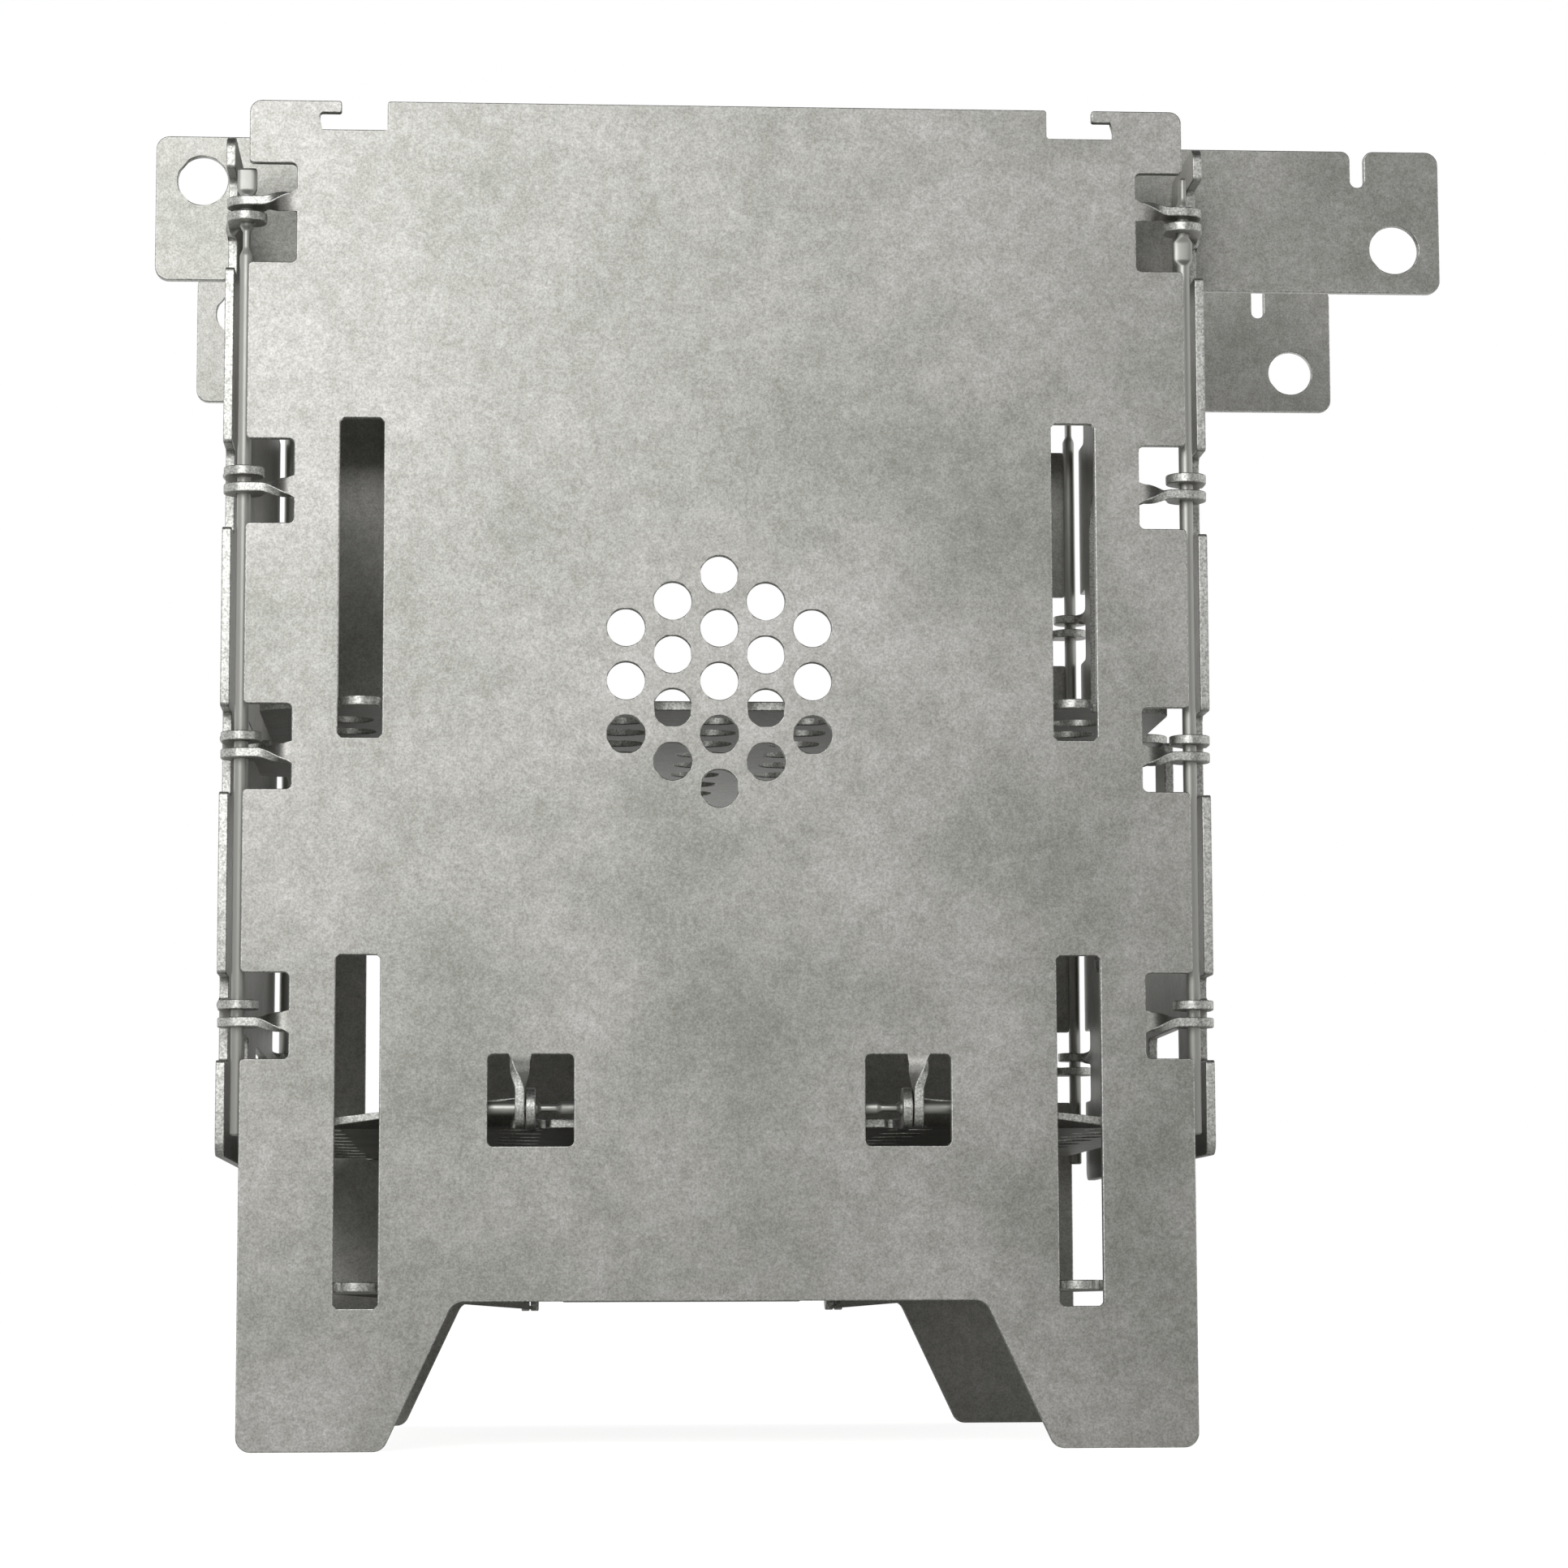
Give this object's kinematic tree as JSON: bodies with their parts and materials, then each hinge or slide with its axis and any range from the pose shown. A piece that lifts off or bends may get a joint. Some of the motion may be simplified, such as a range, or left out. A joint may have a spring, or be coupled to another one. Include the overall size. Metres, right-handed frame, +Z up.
{
  "type": "folding twig stove",
  "caption": "Folding stainless steel twig stove with hinged grate and ash plate, loose perforated plate and two pot bars.",
  "frame": {"origin": "on the ground, in the middle of the box that holds the whole stove, pot bars included", "axes": "+X from the left wall to the right wall, +Y from the front wall to the back wall, +Z up"},
  "size_m": [0.1556, 0.115, 0.156],
  "materials": {
    "sheet": "tumbled stainless sheet, satin",
    "rod": "drawn stainless wire, satin"
  },
  "bodies": {
    "stove": {"front_wall": "sheet", "back_wall": "sheet", "left_wall": "sheet", "right_wall": "sheet", "front_left_rod": "rod", "front_right_rod": "rod", "back_left_rod": "rod", "back_right_rod": "rod", "grate_rod": "rod", "ash_plate_rod": "rod"},
    "grate": {"grate": "sheet"},
    "ash_plate": {"ash_plate": "sheet"},
    "upper_plate": {"upper_plate": "sheet"},
    "front_bar": {"front_bar": "sheet"},
    "back_bar": {"back_bar": "sheet"}
  },
  "joints": [
    {"name": "grate_swing", "type": "hinge", "parent": "stove", "child": "grate", "pos_m": [-0.01115, -0.05475, 0.03855], "axis": [1, 0, 0], "range_deg": [0, 24]},
    {"name": "ash_plate_swing", "type": "hinge", "parent": "stove", "child": "ash_plate", "pos_m": [-0.01115, 0.05475, 0.0179], "axis": [-1, 0, 0], "range_deg": [0, 9]},
    {"name": "upper_plate_lift", "type": "slide", "parent": "stove", "child": "upper_plate", "axis": [0, 0, 1], "range_m": [0, 0.002]},
    {"name": "front_bar_lift", "type": "slide", "parent": "stove", "child": "front_bar", "axis": [0, 0, 1], "range_m": [0, 0.03]},
    {"name": "back_bar_lift", "type": "slide", "parent": "stove", "child": "back_bar", "axis": [0, 0, 1], "range_m": [0, 0.03]}
  ]
}
